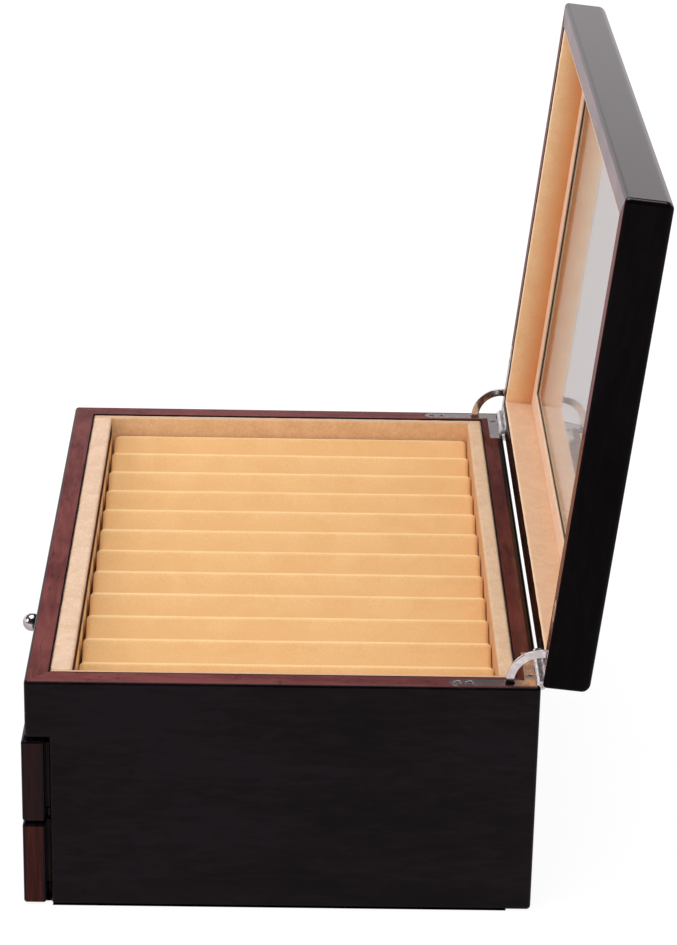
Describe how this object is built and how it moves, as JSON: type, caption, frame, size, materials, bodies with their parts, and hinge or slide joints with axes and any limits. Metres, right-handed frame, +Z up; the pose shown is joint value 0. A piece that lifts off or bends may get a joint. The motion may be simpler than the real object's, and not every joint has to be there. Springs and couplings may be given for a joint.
{
  "type": "pen collector chest",
  "caption": "Wooden display chest for pens: hinged lid with a glass window over a grooved, fabric-lined tray, and slide-out drawers beneath.",
  "frame": {"origin": "middle of the chest's underside, on the surface it stands on", "axes": "+X to the chest's right, -Y to its front (the drawers' side), +Z up"},
  "size_m": [0.34, 0.304, 0.358],
  "materials": {
    "dark_veneer": "dark mahogany-brown veneer under satin lacquer",
    "inner_board": "dark-stained board, matt",
    "beige_fabric": "short-nap suede cloth over padding",
    "window_glass": "clear float glass",
    "polished_nickel": "polished nickel plate",
    "screw_steel": "bright zinc plate"
  },
  "bodies": {
    "chest": {"right_side_panel": "dark_veneer", "left_side_panel": "dark_veneer", "back_panel": "dark_veneer", "front_rail": "dark_veneer", "bottom_board": "inner_board", "drawer_divider": "inner_board", "tray_floor": "inner_board", "right_tray_liner": "beige_fabric", "left_tray_liner": "beige_fabric", "tray_front_ledge": "beige_fabric", "tray_rear_ledge": "beige_fabric", "tray_insert": "beige_fabric", "right_hinge_base_leaf": "polished_nickel", "left_hinge_base_leaf": "polished_nickel", "right_hinge_pin": "polished_nickel", "left_hinge_pin": "polished_nickel", "hinge_base_screws": "screw_steel"},
    "lid": {"lid_front_rail": "dark_veneer", "lid_rear_rail": "dark_veneer", "lid_right_rail": "dark_veneer", "lid_left_rail": "dark_veneer", "lid_front_lining": "beige_fabric", "lid_rear_lining": "beige_fabric", "lid_right_lining": "beige_fabric", "lid_left_lining": "beige_fabric", "lid_window_panel": "dark_veneer", "lid_window_glass": "window_glass", "lid_window_surround": "beige_fabric", "right_hinge_lid_leaf": "polished_nickel", "left_hinge_lid_leaf": "polished_nickel", "hinge_lid_screws": "screw_steel"},
    "right_stay": {"right_hinge_stay": "polished_nickel"},
    "left_stay": {"left_hinge_stay": "polished_nickel"},
    "upper_drawer": {"upper_drawer_front": "dark_veneer", "upper_drawer_right_side": "inner_board", "upper_drawer_left_side": "inner_board", "upper_drawer_back": "inner_board", "upper_drawer_bottom": "inner_board", "upper_drawer_linings": "beige_fabric", "upper_drawer_insert": "beige_fabric", "upper_drawer_knob": "polished_nickel", "upper_drawer_knob_screw": "screw_steel"},
    "lower_drawer": {"lower_drawer_front": "dark_veneer", "lower_drawer_right_side": "inner_board", "lower_drawer_left_side": "inner_board", "lower_drawer_back": "inner_board", "lower_drawer_bottom": "inner_board", "lower_drawer_linings": "beige_fabric", "lower_drawer_insert": "beige_fabric", "lower_drawer_knob": "polished_nickel", "lower_drawer_knob_screw": "screw_steel"}
  },
  "joints": [
    {"name": "lid_hinge", "type": "hinge", "parent": "chest", "child": "lid", "pos_m": [0, 0.1204, 0.1192], "axis": [1, 0, 0], "range_deg": [0, 96.1]},
    {"name": "right_stay_turn", "type": "hinge", "parent": "chest", "child": "right_stay", "pos_m": [0, 0.1204, 0.1192], "axis": [1, 0, 0], "range_deg": [0, 48.05]},
    {"name": "left_stay_turn", "type": "hinge", "parent": "chest", "child": "left_stay", "pos_m": [0, 0.1204, 0.1192], "axis": [1, 0, 0], "range_deg": [0, 48.05]},
    {"name": "upper_drawer_slide", "type": "slide", "parent": "chest", "child": "upper_drawer", "axis": [0, -1, 0], "range_m": [0, 0.18]},
    {"name": "lower_drawer_slide", "type": "slide", "parent": "chest", "child": "lower_drawer", "axis": [0, -1, 0], "range_m": [0, 0.18]}
  ],
  "couplings": [
    {"joint": "right_stay_turn", "follows": "lid_hinge", "ratio": 0.5},
    {"joint": "left_stay_turn", "follows": "lid_hinge", "ratio": 0.5}
  ]
}
